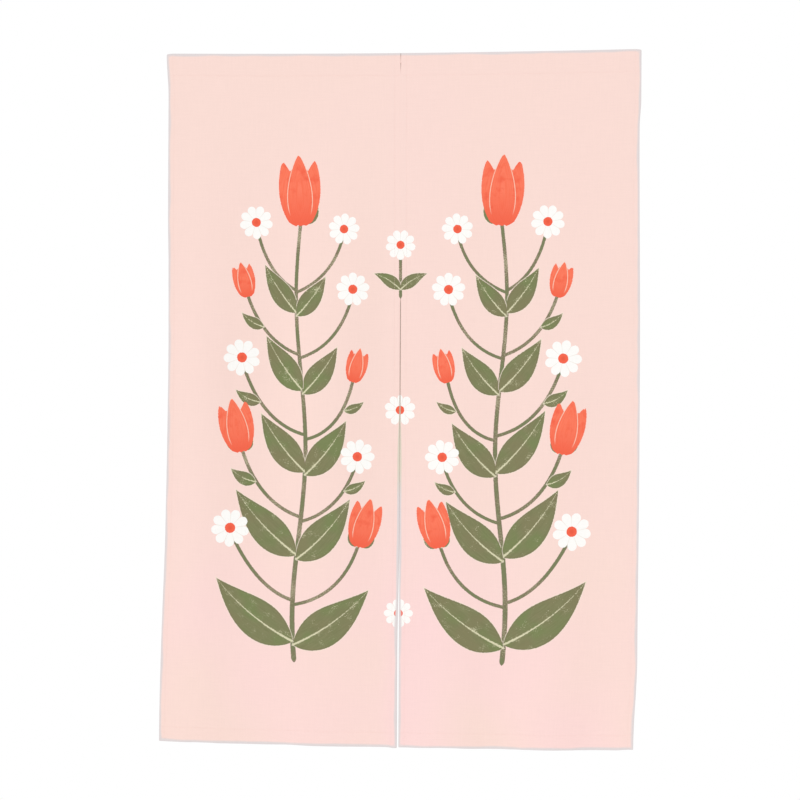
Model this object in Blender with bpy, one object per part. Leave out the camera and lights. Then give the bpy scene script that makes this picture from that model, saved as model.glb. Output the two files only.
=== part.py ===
"""Door curtain of two cloth panels whose inner edges meet, sewn together above and a slit below.

Metres, +Z up. The origin is the middle of the top edge. The printed face looks along -Y,
+X is to the right of a person who looks at it. Each panel is one closed sheet: a single layer
of cloth with a second layer turned behind its heading, side hems and bottom hem.
"""
from collections import namedtuple

import bmesh
import bpy
import numpy as np

# Driving dimensions of the finished panels
PANEL_WIDTH = 0.425       # one panel, inner edge to outer edge, laid flat
DROP = 1.2445             # top edge to bottom hem
MIDDLE = 0.5 * DROP       # height at which the folds are given besides the hem
CLOTH = 0.0012            # a single layer
TURNED = 0.0011           # what the turned layer adds behind a hem
HEADING = 0.042           # depth of the turned top
SIDE_HEM = 0.012
BOTTOM_HEM = 0.028
HEM_STEP = 0.001          # run over which a hem's inner edge falls to the single layer
SEAM_GAP = 0.0003         # left between the two inner edges where they meet
CORNER_DIP = 0.0012       # how far the soft top corner stands below the top edge
SIDE_RISE = 0.0032        # how far the outer edges hang above the middle seam, top and bottom alike
SEAM_LEAN = 0.0020        # how far the middle seam runs to the right on its way down
SEAM_LEANS_FROM = 0.05
SEAM_LEANS_TO = 0.50
SLIT_PARTS = 0.78         # how far down the inner edges begin to stand apart

# Grid of each panel, between its hems
COLUMNS = 22
ROWS = 24

# A fold is a soft upright ridge (above 0, towards the viewer) or hollow (below 0).
# across: its middle, from the inner edge; width: foot to foot; middle and hem: its height off
# the flat cloth halfway down the panel and at the bottom hem. At the top edge it is flat.
Fold = namedtuple("Fold", "across width middle hem")

LEFT_FOLDS = [
    Fold(across=0.120, width=0.200, middle=0.0112, hem=0.0026),
    Fold(across=0.245, width=0.170, middle=-0.0084, hem=-0.0018),
    Fold(across=0.360, width=0.130, middle=0.0060, hem=0.0030),
]
RIGHT_FOLDS = [
    Fold(across=0.083, width=0.150, middle=0.0012, hem=0.0040),
    Fold(across=0.176, width=0.128, middle=-0.0018, hem=-0.0032),
    Fold(across=0.274, width=0.142, middle=0.0016, hem=0.0044),
    Fold(across=0.366, width=0.118, middle=-0.0008, hem=-0.0025),
]

# An outer edge starts at the panel's width from the middle, plus start_wider. Each step then
# moves it outwards by so much (inwards below 0) between two heights, measured down.
Step = namedtuple("Step", "start end outwards")

LEFT_EDGE = [
    Step(start=0.00, end=0.08, outwards=-0.0038),
    Step(start=0.20, end=0.62, outwards=-0.0014),
    Step(start=0.70, end=DROP, outwards=0.0111),
]
RIGHT_EDGE = [
    Step(start=0.09, end=0.14, outwards=-0.0027),
    Step(start=0.14, end=0.55, outwards=0.0027),
    Step(start=0.70, end=1.10, outwards=-0.0020),
    Step(start=1.08, end=DROP, outwards=-0.0065),
]

# side: -1 left, +1 right; opens: how far the inner edge stands off the seam's line at the hem;
# swing: how far the lower outer corner comes forward; corner_lift and hem_sag shape the
# bottom line.
Panel = namedtuple("Panel", "name side opens swing corner_lift hem_sag start_wider edge folds")

PANELS = [
    Panel(name="panel_left", side=-1, opens=0.0036, swing=0.010, corner_lift=0.0016,
          hem_sag=0.0006, start_wider=0.0, edge=LEFT_EDGE, folds=LEFT_FOLDS),
    Panel(name="panel_right", side=1, opens=0.0008, swing=0.003, corner_lift=0.0,
          hem_sag=0.0005, start_wider=0.0034, edge=RIGHT_EDGE, folds=RIGHT_FOLDS),
]

CLOTH_COLOUR = (0.965, 0.723, 0.665, 1.0)   # pale pink, linear
CLOTH_ROUGHNESS = 0.9
SHARP_ANGLE = np.radians(35.0)              # edges that turn by more are shaded sharp


def remove_old_objects():
    """Empty the scene of whatever objects it holds."""
    for item in list(bpy.data.objects):
        bpy.data.objects.remove(item, do_unlink=True)


def smooth_step(value, low, high):
    """0 below low, 1 above high, and an S-shaped rise between them."""
    share = np.clip((value - low) / (high - low), 0.0, 1.0)
    return share * share * (3.0 - 2.0 * share)


def hemmed_lines(length, first_hem, last_hem, steps):
    """Grid lines along one side: the two hems with their inner steps, and even lines between.

    Also gives, for each line, whether it lies on a hem."""
    inner = np.linspace(first_hem + HEM_STEP, length - last_hem - HEM_STEP, steps + 1)
    lines = np.concatenate([[0.0, first_hem], inner, [length - last_hem, length]])
    on_hem = (lines <= first_hem) | (lines >= length - last_hem)
    return lines, on_hem


def fold_relief(panel, across, down):
    """How far the cloth stands towards the viewer.

    Each fold is one cosine bell across the panel. Its height rises smoothly from the top edge
    to the middle, and runs evenly from there to its height at the hem. The lower outer corner
    swings forward besides."""
    relief = np.zeros(np.broadcast(across, down).shape)
    upper = smooth_step(down, HEADING, MIDDLE)
    lower = np.clip((down - MIDDLE) / (DROP - MIDDLE), 0.0, 1.0)

    for fold in panel.folds:
        offset = np.clip((across - fold.across) / fold.width, -0.5, 0.5)
        bell = 0.5 + 0.5 * np.cos(2.0 * np.pi * offset)
        relief += bell * (fold.middle * upper + (fold.hem - fold.middle) * lower)
    corner = (across / PANEL_WIDTH) ** 2 * smooth_step(down, MIDDLE, DROP)
    return relief + panel.swing * corner


def middle_surface(panel, across, down):
    """Points of the sheet's middle surface, as an array of rows, columns and XYZ.

    Where the cloth leans towards the viewer over a fold, its run along X shortens to the other
    leg of the triangle. The runs add up from the inner edge, and are then stretched by the 1 or 2
    percent that brings the outer edge to its outline. Below SLIT_PARTS the inner edge runs
    straight to where it ends at the hem."""
    relief = fold_relief(panel, across, down)
    lean = np.diff(relief, axis=1)
    runs = np.sqrt(np.diff(across, axis=1) ** 2 - lean ** 2)
    from_inner = np.concatenate([np.zeros_like(down), np.cumsum(runs, axis=1)], axis=1)

    seam = SEAM_LEAN * smooth_step(down, SEAM_LEANS_FROM, SEAM_LEANS_TO)
    opening = panel.opens * np.clip((down - SLIT_PARTS) / (DROP - SLIT_PARTS), 0.0, 1.0)
    inner_edge = 0.5 * SEAM_GAP + panel.side * seam + opening
    outer_edge = PANEL_WIDTH + panel.start_wider
    for step in panel.edge:
        outer_edge = outer_edge + step.outwards * smooth_step(down, step.start, step.end)
    from_middle = inner_edge + from_inner * (outer_edge - inner_edge) / from_inner[:, -1:]

    share = across / PANEL_WIDTH
    lift = panel.corner_lift * share ** 3 - panel.hem_sag * np.sin(np.pi * share)
    dip = CORNER_DIP * (share >= 1.0) * (1.0 - smooth_step(down, 0.0, HEADING))
    height = -down * (1.0 - lift / DROP) + SIDE_RISE * share ** 2 - dip
    return np.stack([panel.side * from_middle, -relief, height], axis=2)


def sheet_normals(points):
    """Unit normals of the grid that look towards the viewer."""
    along_row = np.gradient(points, axis=1)
    along_column = np.gradient(points, axis=0)
    normals = np.cross(along_row, along_column)
    normals /= np.linalg.norm(normals, axis=2, keepdims=True)
    return normals * -np.sign(normals[:, :, 1:2])


def grid_quads(rows, columns, first):
    """Quads of a grid whose points are numbered row by row from first."""
    corner = first + (np.arange(rows - 1)[:, None] * columns + np.arange(columns - 1)).ravel()
    return np.stack([corner, corner + 1, corner + columns + 1, corner + columns], axis=1)


def closed_sheet(front, back):
    """Vertices and faces of the front and back grids and of the rim that joins them."""
    rows, columns = front.shape[:2]
    count = rows * columns
    numbers = np.arange(count).reshape(rows, columns)
    rim = np.concatenate([numbers[0, :-1], numbers[:-1, -1], numbers[-1, :0:-1], numbers[:0:-1, 0]])
    following = np.roll(rim, -1)
    rim_quads = np.stack([following, rim, rim + count, following + count], axis=1)
    front_quads = grid_quads(rows, columns, 0)
    back_quads = grid_quads(rows, columns, count)[:, ::-1]
    vertices = np.concatenate([front.reshape(-1, 3), back.reshape(-1, 3)])
    return vertices, np.concatenate([front_quads, back_quads, rim_quads])


def cloth_material(name):
    """Matt pale pink cloth."""
    material = bpy.data.materials.new(name)
    material.use_nodes = True
    shader = material.node_tree.nodes["Principled BSDF"]
    shader.inputs["Base Color"].default_value = CLOTH_COLOUR
    shader.inputs["Roughness"].default_value = CLOTH_ROUGHNESS
    shader.inputs["Metallic"].default_value = 0.0
    return material


def make_panel(panel):
    """One hanging panel as a closed sheet, thicker behind where its edges are turned."""
    columns, column_on_hem = hemmed_lines(PANEL_WIDTH, SIDE_HEM, SIDE_HEM, COLUMNS)
    rows, row_on_hem = hemmed_lines(DROP, HEADING, BOTTOM_HEM, ROWS)
    points = middle_surface(panel, columns[None, :], rows[:, None])
    normals = sheet_normals(points)
    turned = TURNED * (column_on_hem[None, :] | row_on_hem[:, None])
    front = points + normals * 0.5 * CLOTH
    back = points - normals * (0.5 * CLOTH + turned)[:, :, None]

    vertices, faces = closed_sheet(front, back)
    mesh = bpy.data.meshes.new(panel.name)
    mesh.from_pydata(vertices.tolist(), [], faces.tolist())
    body = bmesh.new()
    body.from_mesh(mesh)
    bmesh.ops.recalc_face_normals(body, faces=body.faces)
    body.to_mesh(mesh)
    body.free()
    mesh.shade_smooth()
    mesh.set_sharp_from_angle(angle=SHARP_ANGLE)
    mesh.materials.append(cloth_material(panel.name + "_cloth"))

    item = bpy.data.objects.new(panel.name, mesh)
    bpy.context.scene.collection.objects.link(item)
    return item


def main():
    remove_old_objects()
    for panel in PANELS:
        make_panel(panel)


main()
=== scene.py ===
# Door curtain: two printed cloth panels, sewn together above and open as a slit below
import math

import bpy
import numpy as np
from mathutils import Matrix, Vector


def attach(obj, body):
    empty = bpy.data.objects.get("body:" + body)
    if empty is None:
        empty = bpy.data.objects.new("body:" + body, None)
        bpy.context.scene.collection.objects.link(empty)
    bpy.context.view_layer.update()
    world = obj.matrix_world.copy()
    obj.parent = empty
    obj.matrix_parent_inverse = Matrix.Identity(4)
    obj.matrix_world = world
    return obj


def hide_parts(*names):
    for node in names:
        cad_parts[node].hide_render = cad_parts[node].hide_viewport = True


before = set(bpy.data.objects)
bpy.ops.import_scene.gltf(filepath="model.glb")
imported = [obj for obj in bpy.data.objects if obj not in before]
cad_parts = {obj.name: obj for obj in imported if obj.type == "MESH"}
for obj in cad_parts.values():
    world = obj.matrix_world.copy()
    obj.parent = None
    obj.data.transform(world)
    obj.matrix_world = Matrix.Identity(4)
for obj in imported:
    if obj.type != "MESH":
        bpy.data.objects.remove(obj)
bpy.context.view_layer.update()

bodyName = "root"                    # cloth has no joints, so everything hangs on one body
mm = 0.001

# The cloth, in metres. Width, drop, hems and folds are those of the solids.
cloth = {
    "panelWidth": 0.425,     # one panel laid flat, inner edge to outer edge
    "drop": 1.2445,          # top edge to bottom hem
    "printedFace": 0.0006,   # from the sheet's middle surface to its printed face
    "layer": 0.0006,         # one layer of cloth
    "turnedLayer": 0.0008,   # what the turned layer adds behind a hem
    "hemStep": 0.0008,       # run over which the turned layer's raw edge falls away
    "thinnest": 0.0001,      # at its rounded edges
    "heading": 0.042,
    "sideHem": 0.012,
    "bottomHem": 0.028,
    "seamEnds": 0.441,       # the slit starts here, measured down from the top edge
    "cornerDip": 0.0012,     # how far the soft top corner stands below the top edge
    "dipPower": 1.4,         # and how soon that dies away beside it
    "hemFrom": 0.9,          # the bottom line's own form starts here, measured down
    "sideRise": 0.0032,      # how far the outer edges hang above the middle seam, top and bottom
    "seamLean": 0.0020,      # how far the middle seam runs to the right on its way down
    "seamLeansFrom": 0.05,
    "seamLeansTo": 0.50,
    "spacing": 0.0038,       # grid spacing between the edges
    "edgeLines": (0.0, 0.12, 0.4, 0.9, 1.6, 2.6, 4.0),   # close grid lines at every edge, in mm
    "stitchLines": (-0.9, 0.0, 0.9),    # and beside each row of stitches
    "sharpFrom": 60.0,       # edges that turn by more degrees are shaded sharp
}

panelWidth, drop = cloth["panelWidth"], cloth["drop"]

# Each row is one soft upright fold: its middle from the inner edge, its width, and how far it
# stands forward halfway down and at the hem
leftFolds = [
    (0.120, 0.200, 0.0112, 0.0026),
    (0.245, 0.170, -0.0084, -0.0018),
    (0.360, 0.130, 0.0060, 0.0030),
]
rightFolds = [
    (0.083, 0.150, 0.0012, 0.0040),
    (0.176, 0.128, -0.0018, -0.0032),
    (0.274, 0.142, 0.0016, 0.0044),
    (0.366, 0.118, -0.0008, -0.0025),
]

# An outer edge starts at the panel's width from the middle, plus startWider. Each step then moves
# it outwards between two heights, measured down: from, to, by how much (below 0: inwards)
leftEdge = [
    (0.00, 0.08, -0.0038),
    (0.20, 0.62, -0.0014),
    (0.30, 0.38, -0.0010),
    (0.52, 0.76, 0.0018),
    (0.78, 0.92, -0.0012),
    (0.70, drop, 0.0111),
]
rightEdge = [
    (0.09, 0.14, -0.0027),
    (0.14, 0.55, 0.0027),
    (0.70, 1.10, -0.0020),
    (1.08, drop, -0.0065),
]

# Where the bottom line hangs a little lower (or higher, below 0): middle across, width, by how much
leftHem = [(0.004, 0.030, 0.0016), (0.192, 0.090, -0.0009), (0.350, 0.080, -0.0010)]
rightHem = [(0.085, 0.110, -0.0014), (0.420, 0.060, -0.0016)]

panels = [
    {"name": "left", "side": -1, "opens": 0.0027, "opensFrom": 0.86, "opensTo": 1.08,
     "swing": 0.010, "cornerLift": 0.0016, "hemSag": 0.0006, "startWider": 0.0,
     "edge": leftEdge, "hem": leftHem, "folds": leftFolds, "slitRim": 4.1, "seed": 3},
    {"name": "right", "side": 1, "opens": 0.0001, "opensFrom": 0.86, "opensTo": 1.08,
     "swing": 0.003, "cornerLift": 0.0, "hemSag": 0.0005, "startWider": 0.0032,
     "edge": rightEdge, "hem": rightHem, "folds": rightFolds, "slitRim": 3.3, "seed": 8},
]


# 0 below low, 1 above high, and an S-shaped rise between them: 3 s squared less 2 s cubed
def smoothStep(value, low, high):
    share = np.clip((value - low) / (high - low), 0.0, 1.0)
    return share * share * (3.0 - 2.0 * share)


# An sRGB hex value as linear light
def linearColour(hexText):
    srgb = np.array([int(hexText[k:k + 2], 16) for k in (1, 3, 5)]) / 255.0
    linear = np.where(srgb <= 0.04045, srgb / 12.92, ((srgb + 0.055) / 1.055) ** 2.4)
    return (*linear.tolist(), 1.0)


# Gives a socket its value, or links it to the socket that feeds it
def feed(tree, socket, value):
    if isinstance(value, bpy.types.NodeSocket):
        tree.links.new(value, socket)
    elif value is not None:
        socket.default_value = value


# Adds a node. Its inputs follow the order of its sockets, and None leaves one as it is. The settings
# are the node's own properties. Gives its first output, all of them, or the one that is named.
def addNode(tree, kind, *inputs, output="first", **settings):
    node = tree.nodes.new("ShaderNode" + kind)
    for name, value in settings.items():
        setattr(node, name, value)
    for socket, value in zip([socket for socket in node.inputs if socket.enabled], inputs):
        feed(tree, socket, value)
    outputs = [socket for socket in node.outputs if socket.enabled]
    if output == "all":
        return outputs
    return outputs[0] if output == "first" else node.outputs[output]


def newFinish(name):
    material = bpy.data.materials.new(name)
    material.use_nodes = True
    return material, material.node_tree


def feedShader(tree, inputs):
    shader = tree.nodes["Principled BSDF"]
    for name, value in inputs.items():
        feed(tree, shader.inputs[name], value)


def newMesh(name, points, *faces):
    mesh = bpy.data.meshes.new(name)
    mesh.from_pydata(points.tolist(), [], [face for rows in faces for face in rows.tolist()])
    mesh.shade_smooth()
    return mesh


def addMap(mesh, name, places):
    layer = mesh.uv_layers.new(name=name)
    layer.data.foreach_set("uv", places.astype(np.float32).ravel())


def addValues(mesh, name, kind, domain, values):
    layer = mesh.attributes.new(name, kind, domain)
    field = "value" if kind == "FLOAT" else "vector"
    layer.data.foreach_set(field, values.astype(np.float32).ravel())


def addToScene(name, data):
    thing = bpy.data.objects.new(name, data)
    bpy.context.scene.collection.objects.link(thing)
    return thing


# Faces of rings of points, numbered from 1, round a first point: a fan, and quads between rings
def ringFaces(rings, spokes):
    index = 1 + np.arange(rings * spokes).reshape(rings, spokes)
    after = np.roll(index, -1, axis=1)
    fan = np.stack([np.zeros(spokes, int), index[0], after[0]], axis=1)
    bands = np.stack([index[:-1], index[1:], after[1:], after[:-1]], axis=2).reshape(-1, 4)
    return fan, bands, index[-1], after[-1]


# Each fold is a cosine bell across the panel, times a height that rises smoothly from nothing
# at the heading to the middle, and then runs evenly to its value at the hem. The lower outer
# corner swings forward with the square of its distance from the inner edge.
def foldRelief(panel, across, down):
    middle = 0.5 * drop
    relief = np.zeros(np.broadcast(across, down).shape)
    upper = smoothStep(down, cloth["heading"], middle)
    lower = np.clip((down - middle) / (drop - middle), 0.0, 1.0)
    for centre, width, atMiddle, atHem in panel["folds"]:
        offset = np.clip((across - centre) / width, -0.5, 0.5)
        bell = 0.5 + 0.5 * np.cos(2.0 * np.pi * offset)
        relief += bell * (atMiddle * upper + (atHem - atMiddle) * lower)
    corner = (across / panelWidth) ** 2 * smoothStep(down, middle, drop)
    return relief + panel["swing"] * corner


# What sewing and hanging leave in the cloth, far below the folds in height
fineForm = {
    "pucker": 0.00022,        # height of the small waves that the hem's stitching draws in
    "puckerWave": 0.031,
    "puckerReach": 0.013,     # how far they run into the cloth
    # each hem's two waves: their turns for one of puckerWave, and how far the second is shifted
    "sideWaves": (1.0, 0.43, 2.0),
    "bottomWaves": (1.1, 0.37, -1.0),
    "secondWave": 0.6,        # height of the second wave, as a share
    "seedShift": 1.7,         # how far all of them are shifted from panel to panel
    "slitGrows": 0.1,         # run over which they grow below the start of the slit
    "slitEdge": 0.004,        # and from its edge
    "ripple": 0.00030,        # faint diagonal ripples in the hanging cloth
    "rippleWave": 0.170,
    "rippleRuns": ((1.0, 0.35, 1.0), (0.8, -0.5, -1.0)),   # across, down and shift of each
    "rippleFull": (0.5, 0.05),    # they are at their full height from here, down and across
    "pinch": 0.00010,         # how deep the stitching pulls into the cloth
    "pinchWidth": 0.0011,
}


# Two sine waves along a hem, the second one lower and longer
def puckers(place, waves, shift):
    first, second, shifted = waves
    turn = 2.0 * np.pi / fineForm["puckerWave"]
    wave = np.sin(first * turn * place + shift)
    return wave + fineForm["secondWave"] * np.sin(second * turn * place + shifted * shift)


# Puckers along each hem that die away exponentially from it, and two crossing sine ripples that
# grow from nothing at the heading
def fineRelief(panel, across, down):
    form = fineForm
    shift = form["seedShift"] * panel["seed"]
    alongSide = puckers(down, form["sideWaves"], shift)
    alongHem = puckers(across, form["bottomWaves"], shift)
    wave = alongSide * np.exp(-(panelWidth - across) / form["puckerReach"])
    wave = wave + alongHem * np.exp(-(drop - down) / form["puckerReach"])
    slit = smoothStep(down, cloth["seamEnds"], cloth["seamEnds"] + form["slitGrows"])
    bySlit = np.exp(-across / form["puckerReach"]) * smoothStep(across, 0.0, form["slitEdge"])
    wave = wave + slit * alongSide * bySlit
    ripples = 0.0
    for runAcross, runDown, shifted in form["rippleRuns"]:
        run = (runAcross * across + runDown * down) / form["rippleWave"]
        ripples = ripples + np.sin(2.0 * np.pi * run + shifted * shift)
    fullDown, fullAcross = form["rippleFull"]
    calm = smoothStep(down, cloth["heading"], fullDown) * smoothStep(across, 0.0, fullAcross)
    return form["pucker"] * wave + form["ripple"] * ripples * calm


# How the inner edge is finished at each height: rounded where the two headings meet, but for the
# small tack between them, closed and flush along the seam, rounded again along the slit. Gives
# the run of the rounding, its depth and half the gap that stays between the panels.
innerEdge = {
    "headingRun": 0.0011, "headingDepth": 0.0014, "headingGap": 0.00003,
    "seamRun": 0.00012, "seamDepth": 0.00003, "seamGap": 0.000004,
    "slitRun": 0.0012, "slitDepth": 0.0015, "slitGap": 0.00003,
    "tackFrom": 0.0160, "tackTo": 0.0182,   # the notch closes at the tack, and ends lower down
    "tackFades": 0.0006,
    "notchNarrows": 0.35,    # it starts to close at this share of the way down to the tack
    "notchEnds": 0.036,
    "slitFades": 0.012,      # run over which the slit starts
}


# How far the headings, and how far the slit's edges, are parted: 0 where they are sewn
def inHeading(down):
    edge = innerEdge
    above = 1.0 - smoothStep(down, edge["notchNarrows"] * edge["tackFrom"], edge["tackFrom"])
    below = smoothStep(down, edge["tackTo"] - edge["tackFades"], edge["tackTo"])
    return np.maximum(above, below * (1.0 - smoothStep(down, edge["tackTo"], edge["notchEnds"])))


def inSlit(down):
    start, fades = cloth["seamEnds"], innerEdge["slitFades"]
    return smoothStep(down, start - fades, start + fades)


def innerEdgeAt(down, what):
    seam, heading, slit = [innerEdge[place + what] for place in ("seam", "heading", "slit")]
    return seam + (heading - seam) * inHeading(down) + (slit - seam) * inSlit(down)


# Where a panel's inner and outer edge hang at each height, both from the middle plane. Both
# inner edges follow the seam's lean, and come apart below it.
def panelEdges(panel, down):
    lean = cloth["seamLean"] * smoothStep(down, cloth["seamLeansFrom"], cloth["seamLeansTo"])
    opening = panel["opens"] * smoothStep(down, panel["opensFrom"], panel["opensTo"])
    innerAt = innerEdgeAt(down, "Gap") + panel["side"] * lean + opening
    outerAt = panelWidth + panel["startWider"]
    for start, end, outwards in panel["edge"]:
        outerAt = outerAt + outwards * smoothStep(down, start, end)
    return innerAt, outerAt


# Points of the middle surface. Over a lean the cloth's run along X is the other leg of the
# triangle. The runs add up from the inner edge and are stretched by the 1 or 2 percent that
# brings the outer edge to its outline. Y is the relief. Z is the height, plus a rise with the
# square of the distance from the seam, a cubic lift at the outer corner and less a half-sine sag
# and the cosine bells of the bottom line.
def middleSurface(panel, across, down):
    relief = foldRelief(panel, across, down)
    lean = np.diff(relief, axis=1)
    runs = np.sqrt(np.maximum(np.diff(across, axis=1) ** 2 - lean ** 2, 0.0))
    runs = np.concatenate([np.zeros_like(down[:, :1]), np.cumsum(runs, axis=1)], axis=1)
    fromInner = across[:, :1] + runs
    innerAt, outerAt = panelEdges(panel, down)
    whole = fromInner[:, -1:] + panelWidth - across[:, -1:]
    fromMiddle = innerAt + fromInner * (outerAt - innerAt) / whole

    share = across / panelWidth
    lift = panel["cornerLift"] * share ** 3 - panel["hemSag"] * np.sin(np.pi * share)
    nearCorner = np.clip(1.0 - (panelWidth - across) / cloth["sideHem"], 0.0, 1.0)
    nearCorner = nearCorner ** cloth["dipPower"]
    dip = cloth["cornerDip"] * nearCorner * (1.0 - smoothStep(down, 0.0, cloth["heading"]))
    for centre, width, lower in panel["hem"]:
        bell = 0.5 + 0.5 * np.cos(2.0 * np.pi * np.clip((across - centre) / width, -0.5, 0.5))
        dip = dip + lower * bell * smoothStep(down, cloth["hemFrom"], drop)
    height = -down * (1.0 - lift / drop) + cloth["sideRise"] * share ** 2 - dip
    forward = relief + fineRelief(panel, across, down)
    return np.stack([panel["side"] * fromMiddle, -forward, height], axis=2)


# Unit normals of a grid, all towards the viewer
def gridNormals(points):
    normals = np.cross(np.gradient(points, axis=1), np.gradient(points, axis=0))
    normals /= np.linalg.norm(normals, axis=2, keepdims=True)
    return normals * -np.sign(normals[:, :, 1:2])


# Even grid lines over a length, with the detail lines in the place of those next to them
def gridLines(length, details):
    even = np.linspace(0.0, length, round(length / cloth["spacing"]) + 1)
    nearest = np.min(np.abs(even[:, None] - details[None, :]), axis=1)
    return np.sort(np.concatenate([even[nearest > 0.5 * cloth["spacing"]], details]))


# Close lines at an edge, at the stitching inside its hem and at the hem's raw edge
def hemLines(hem, stitchedAt):
    edge = np.array(cloth["edgeLines"]) * mm
    beside = stitchedAt + np.array(cloth["stitchLines"]) * mm
    return np.concatenate([edge, beside, [hem, hem + cloth["hemStep"]]])


# Quarter-circle corners: a point inside the corner square moves from its square ring to the
# circle of the same size, so its distance is scaled by the larger offset over the hypotenuse
def roundCorner(across, down, cornerAcross, cornerDown, radius):
    inAcross = np.sign(0.5 * panelWidth - cornerAcross)
    inDown = np.sign(0.5 * drop - cornerDown)
    sideways = radius - (across - cornerAcross) * inAcross
    upwards = radius - (down - cornerDown) * inDown
    inside = (sideways > 0.0) & (upwards > 0.0)
    scale = np.maximum(sideways, upwards) / np.maximum(np.hypot(sideways, upwards), 1e-9)
    movedAcross = cornerAcross + (radius - sideways * scale) * inAcross
    movedDown = cornerDown + (radius - upwards * scale) * inDown
    return np.where(inside, movedAcross, across), np.where(inside, movedDown, down)


corners = [
    # outer corner or not, bottom corner or not, radius
    (True, False, 0.0026),
    (True, True, 0.0016),
    (False, False, 0.0009),
    (False, True, 0.0016),
]

# Where the hems are stitched, from the panel's edges
stitchedAt = {"side": 0.0105, "heading": 0.040, "bottom": 0.026}

# How the folded edges are rounded
roundings = {"run": 0.0009, "topRun": 0.0012, "depth": 0.0006, "innerBack": 0.0005}


# An edge falls back in a quarter ellipse: depth times 1 less the root of 1 less the square of
# what is left of the run
def roundedEdge(distance, run, depth):
    left = np.clip(1.0 - distance / run, 0.0, 1.0)
    return depth * (1.0 - np.sqrt(1.0 - left * left))


# The printed face and the back of a panel, and the flat coordinates of their points
def sheetGrids(panel):
    side = hemLines(cloth["sideHem"], stitchedAt["side"])
    tackTo = innerEdge["tackTo"]
    tack = [innerEdge["tackFrom"], tackTo - innerEdge["tackFades"], tackTo]
    top = np.concatenate([hemLines(cloth["heading"], stitchedAt["heading"]), tack])
    bottom = hemLines(cloth["bottomHem"], stitchedAt["bottom"])
    acrossLines = gridLines(panelWidth, np.concatenate([side, panelWidth - side]))
    downLines = gridLines(drop, np.concatenate([top, drop - bottom]))
    down, across = np.meshgrid(downLines, acrossLines, indexing="ij")
    outer, lower = panelWidth - across, drop - down

    rounding = 0.0
    for distance, run in ((outer, "run"), (down, "topRun"), (lower, "run")):
        rounding = np.maximum(rounding, roundedEdge(distance, roundings[run], roundings["depth"]))
    innerDepth = innerEdgeAt(down, "Depth")
    inFront = np.maximum(rounding, roundedEdge(across, innerEdgeAt(down, "Run"), innerDepth))
    backDepth = np.minimum(innerDepth, roundings["innerBack"])
    inBack = np.maximum(rounding, roundedEdge(across, roundings["run"], backDepth))
    toStitching = np.min(np.abs([
        across - stitchedAt["side"], outer - stitchedAt["side"],
        down - stitchedAt["heading"], lower - stitchedAt["bottom"],
    ]), axis=0)
    pinch = fineForm["pinch"] * np.exp(-(toStitching / fineForm["pinchWidth"]) ** 2)

    step = cloth["hemStep"]
    turned = 1.0 - smoothStep(across, cloth["sideHem"], cloth["sideHem"] + step)
    for distance, hem in ((outer, "sideHem"), (down, "heading"), (lower, "bottomHem")):
        turned = np.maximum(turned, 1.0 - smoothStep(distance, cloth[hem], cloth[hem] + step))

    flatAcross, flatDown = across, down
    for isOuter, isBottom, radius in corners:
        place = (panelWidth if isOuter else 0.0, drop if isBottom else 0.0)
        flatAcross, flatDown = roundCorner(flatAcross, flatDown, *place, radius)
    points = middleSurface(panel, flatAcross, flatDown)
    normals = gridNormals(middleSurface(panel, across, down))
    ahead = cloth["printedFace"] - inFront - pinch
    behind = cloth["layer"] - cloth["printedFace"] + cloth["turnedLayer"] * turned - inBack - pinch
    behind = np.maximum(behind, cloth["thinnest"] - ahead)       # the two faces never cross
    return {
        "acrossLines": acrossLines, "downLines": downLines,
        "across": flatAcross, "down": flatDown,
        "front": points + normals * ahead[:, :, None],
        "back": points - normals * behind[:, :, None],
        "normals": normals,
    }


# The print: a generic garden pattern of tulips, daisies and plain leaves on upright stems.
# All of it is in mm on the flat panel, across from the middle seam and down from the top edge,
# so the two panels mirror each other. Headings are from straight up, + to the outer side.
printPlan = {
    "mainStem": {"middle": 180.0, "sway": 10.0, "wave": 560.0, "top": 296.0, "bottom": 1096.0,
                 "thin": 3.1, "thick": 4.7},
    "lengthVaries": 0.04,      # how unlike the two panels' leaves are, as a share and in degrees
    "headingVaries": 3.0,
    "toneStep": 0.618,         # from one leaf's tone to the next, as a share of all tones
    "sizeUnit": 100.0,         # length of a leaf whose midrib is as wide as leafLook says
    "leafPeak": 0.78,          # below 1, a leaf is widest nearer its foot
    "leafSlims": 0.22,         # how much narrower its far half is, as a share
    "petalRoot": 0.72,         # the lower, the squarer a petal's shoulders
    "stalkPieces": 20,
    # a tulip's petals: half width as a share of its own, how round the foot is, and how low the
    # widest place lies
    "frontPetal": (0.50, 0.07, 0.74),
    "sidePetal": (0.42, 0.10, 0.82),
    "sideHeight": 0.9,
    "sideLeans": (0.22, 0.46),     # where a side petal starts, and how far it leans out
}


# The main stem is a sine wave down the panel
def mainStemAt(down):
    stem = printPlan["mainStem"]
    return stem["middle"] + stem["sway"] * np.sin(2.0 * np.pi * (down - stem["top"]) / stem["wave"])


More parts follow.
